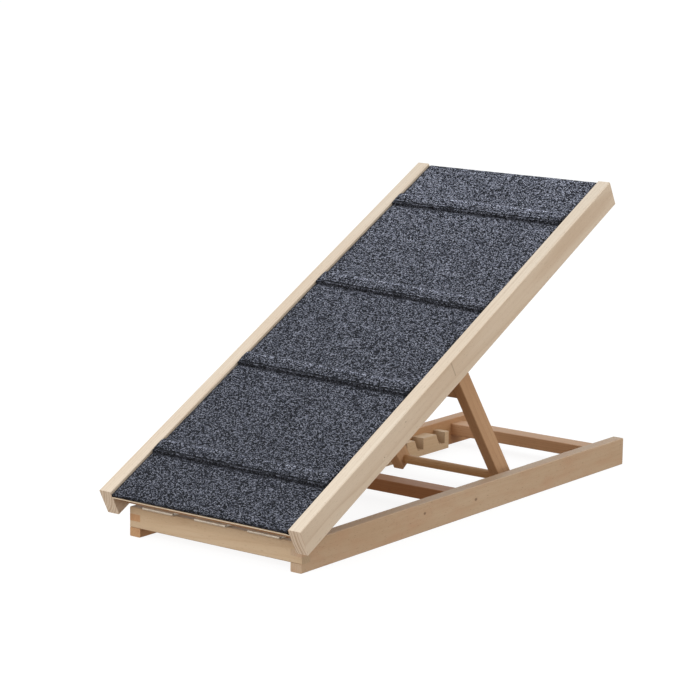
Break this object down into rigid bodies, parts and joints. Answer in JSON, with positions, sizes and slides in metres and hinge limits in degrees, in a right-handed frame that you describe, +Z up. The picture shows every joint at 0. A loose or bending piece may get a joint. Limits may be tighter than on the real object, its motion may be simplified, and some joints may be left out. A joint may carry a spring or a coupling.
{
  "type": "folding dog ramp",
  "caption": "Carpeted wooden pet ramp hinged to a low base frame; a hinged prop with a dowel foot drops into notched racks to set the slope, and all folds flat.",
  "frame": {"origin": "middle of the bounding box, on the floor", "axes": "+Z up, +Y from the low end towards the high end of the ramp, +X to the right seen from the low end"},
  "size_m": [0.4204, 1.0138, 0.5445],
  "materials": {
    "pale_softwood": "sanded pale pine, satin",
    "tan_softwood": "sanded pinkish-tan softwood, satin",
    "rack_wood": "sanded tan softwood, satin",
    "dowel_wood": "turned hardwood dowel, satin",
    "plywood": "thin plywood, unfinished",
    "carpet": "needle-punched heather charcoal carpet",
    "hinge_steel": "zinc-plated pressed steel",
    "screw_steel": "zinc-plated countersunk screws"
  },
  "bodies": {
    "base": {"base_rail_left": "tan_softwood", "base_rail_right": "tan_softwood", "base_front_crossbar": "tan_softwood", "base_middle_crossbar": "tan_softwood", "base_rear_crossbar": "tan_softwood", "base_frame_pegs": "dowel_wood", "rack_left": "rack_wood", "rack_right": "rack_wood", "rack_pegs": "dowel_wood", "hinge_base_leaf_left": "hinge_steel", "hinge_base_leaf_middle": "hinge_steel", "hinge_base_leaf_right": "hinge_steel", "hinge_base_screws": "screw_steel", "hinge_pins": "hinge_steel"},
    "deck": {"deck_rail_left": "pale_softwood", "deck_rail_right": "pale_softwood", "deck_front_crossbar": "tan_softwood", "deck_middle_crossbar": "tan_softwood", "deck_rear_crossbar": "tan_softwood", "deck_frame_pegs": "dowel_wood", "deck_panel": "plywood", "tread_batten_1": "plywood", "tread_batten_2": "plywood", "tread_batten_3": "plywood", "tread_batten_4": "plywood", "carpet": "carpet", "hinge_deck_leaf_left": "hinge_steel", "hinge_deck_leaf_middle": "hinge_steel", "hinge_deck_leaf_right": "hinge_steel", "hinge_deck_screws": "screw_steel", "prop_hinge_deck_leaf_left": "hinge_steel", "prop_hinge_deck_leaf_right": "hinge_steel", "prop_hinge_deck_screws": "screw_steel", "prop_hinge_pins": "hinge_steel"},
    "prop": {"prop_leg_left": "tan_softwood", "prop_leg_right": "tan_softwood", "prop_top_crossbar": "tan_softwood", "prop_stretcher": "tan_softwood", "prop_dowel": "dowel_wood", "prop_frame_pegs": "dowel_wood", "prop_hinge_leaf_left": "hinge_steel", "prop_hinge_leaf_right": "hinge_steel", "prop_hinge_screws": "screw_steel"}
  },
  "joints": [
    {"name": "deck_tilt", "type": "hinge", "parent": "base", "child": "deck", "pos_m": [0, -0.46611, 0.052], "axis": [1, 0, 0], "range_deg": [-27.58, 62.42]},
    {"name": "prop_swing", "type": "hinge", "parent": "deck", "child": "prop", "pos_m": [0, -0.01186, 0.28758], "axis": [-1, 0, 0], "range_deg": [-82.67, 0]}
  ]
}
